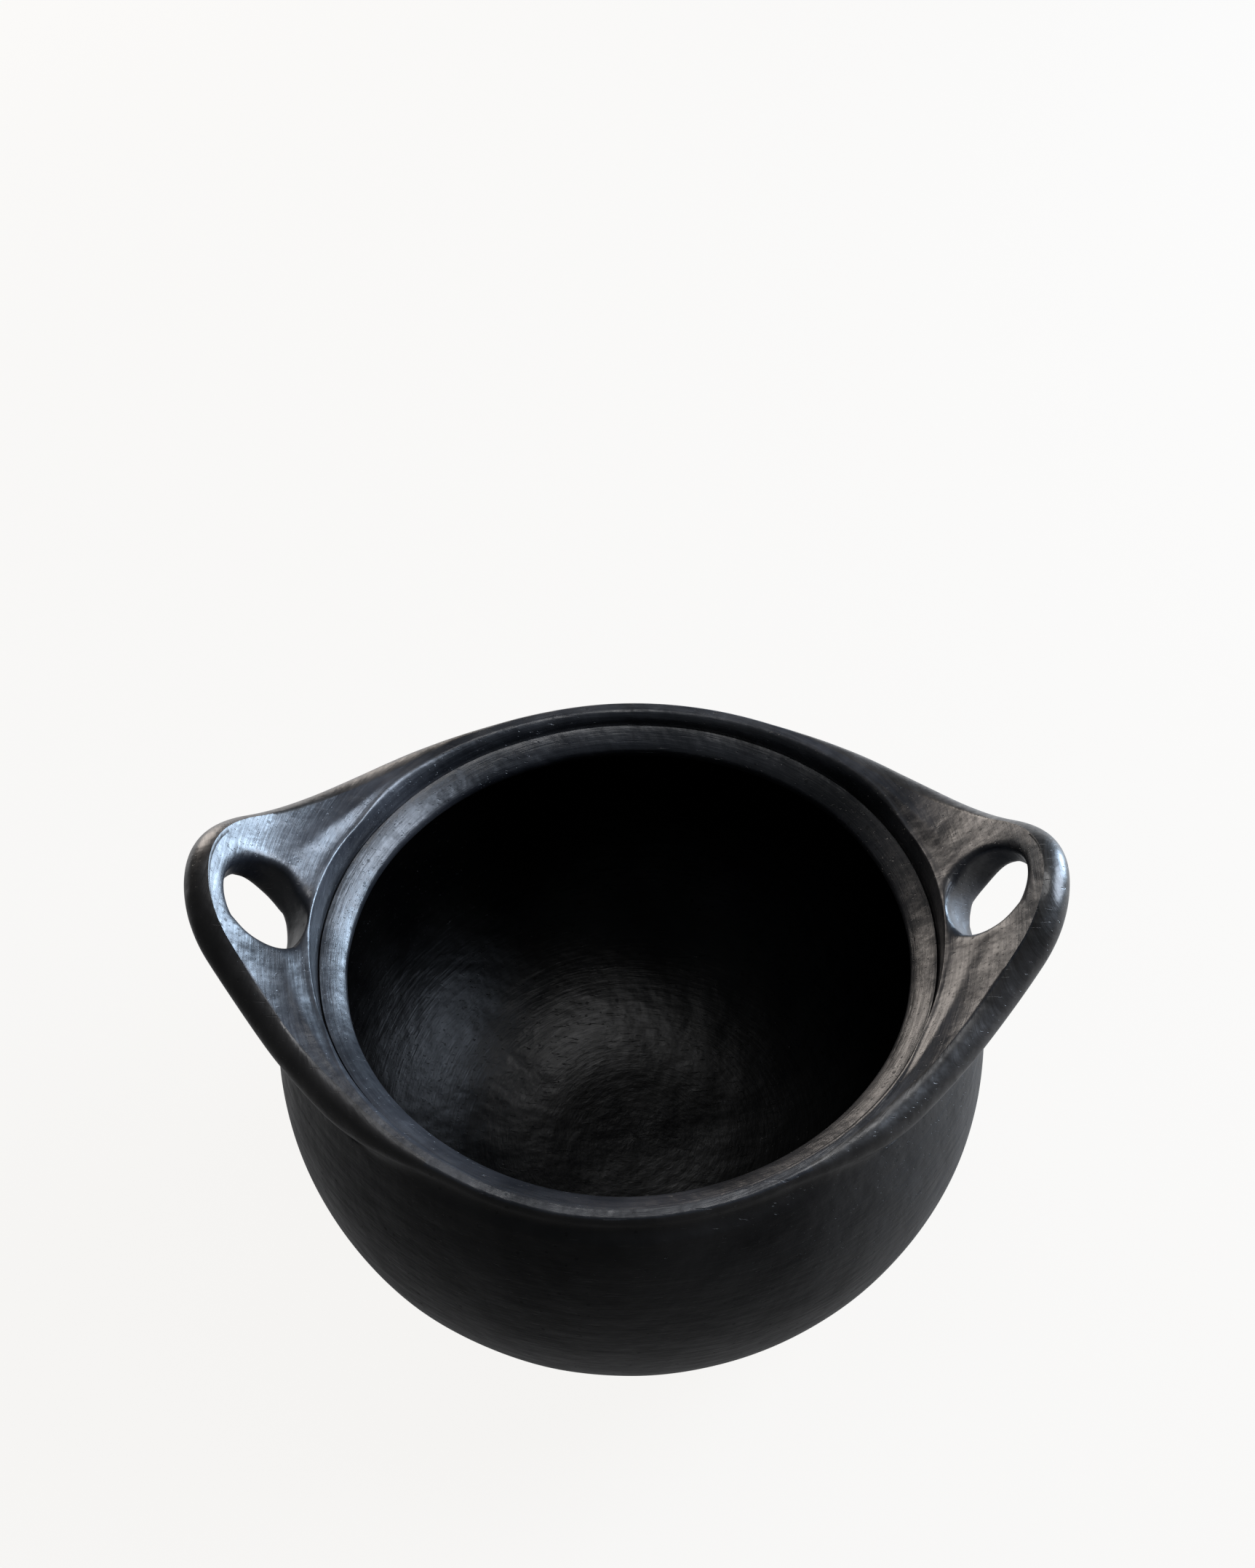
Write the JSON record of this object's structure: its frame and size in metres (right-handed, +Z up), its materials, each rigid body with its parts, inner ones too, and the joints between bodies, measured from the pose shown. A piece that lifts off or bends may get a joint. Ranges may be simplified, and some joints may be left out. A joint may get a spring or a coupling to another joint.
{
  "type": "black clay soup pot",
  "caption": "Round-bellied black clay cooking pot with a lid seat inside its mouth and raised ear handles pierced by finger holes.",
  "frame": {"origin": "centre of the underside of the flat foot", "axes": "+Z up through the mouth, +X towards the right handle, so that the two handles lie along X"},
  "size_m": [0.2926, 0.25, 0.1709],
  "materials": {
    "body_clay": "smoked black clay, hand burnished to a dull satin",
    "mouth_clay": "smoked black clay, burnished to a graphite-like sheen",
    "handle_clay": "smoked black clay, burnished, with faint tool strokes",
    "edge_clay": "smoked black clay, rubbed smoother and a little browner along the edge"
  },
  "bodies": {
    "root": {"base_bowl": "body_clay", "lower_wall_coil": "body_clay", "upper_wall_coil": "body_clay", "lid_seat": "mouth_clay", "rim_lip": "mouth_clay", "right_handle_web": "handle_clay", "right_handle_edge_coil": "edge_clay", "left_handle_web": "handle_clay", "left_handle_edge_coil": "edge_clay"}
  },
  "joints": []
}
